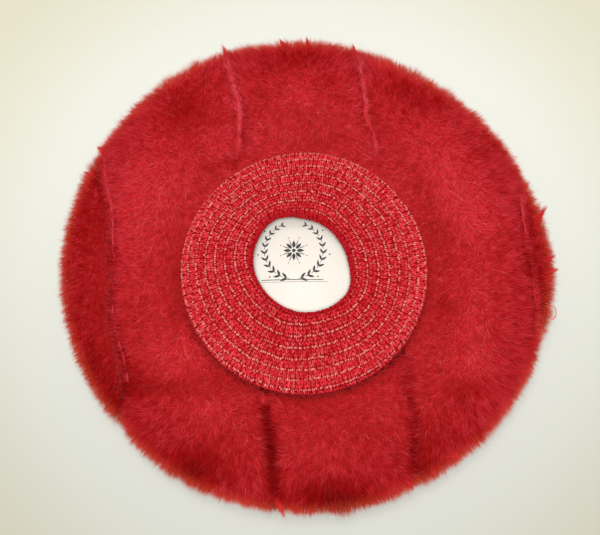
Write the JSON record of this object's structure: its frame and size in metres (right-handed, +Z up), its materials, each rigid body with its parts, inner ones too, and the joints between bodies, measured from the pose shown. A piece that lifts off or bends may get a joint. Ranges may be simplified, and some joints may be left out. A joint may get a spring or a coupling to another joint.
{
  "type": "plush tam hat",
  "caption": "Round long-pile plush tam lying upside down, its underside pieced from parallel strips round a flat knitted head ring with a pale lining inside.",
  "frame": {"origin": "centre of the hat's box on the surface it lies on, under its crown", "axes": "+Z up, out of the head opening; +Y towards the back as pictured; +X to the right"},
  "size_m": [0.3354, 0.3258, 0.0525],
  "materials": {
    "plush": "long matt red pile with a soft sheen, swept towards the seams and the rim",
    "knit": "matt knitted yarn, every third row flecked with a pale strand",
    "lining": null
  },
  "bodies": {
    "root": {"crown": "plush", "strip_left": "plush", "strip_left_middle": "plush", "strip_back": "plush", "strip_front": "plush", "strip_right_middle": "plush", "strip_right": "plush", "knit_band": "knit", "lining": "lining"}
  },
  "joints": []
}
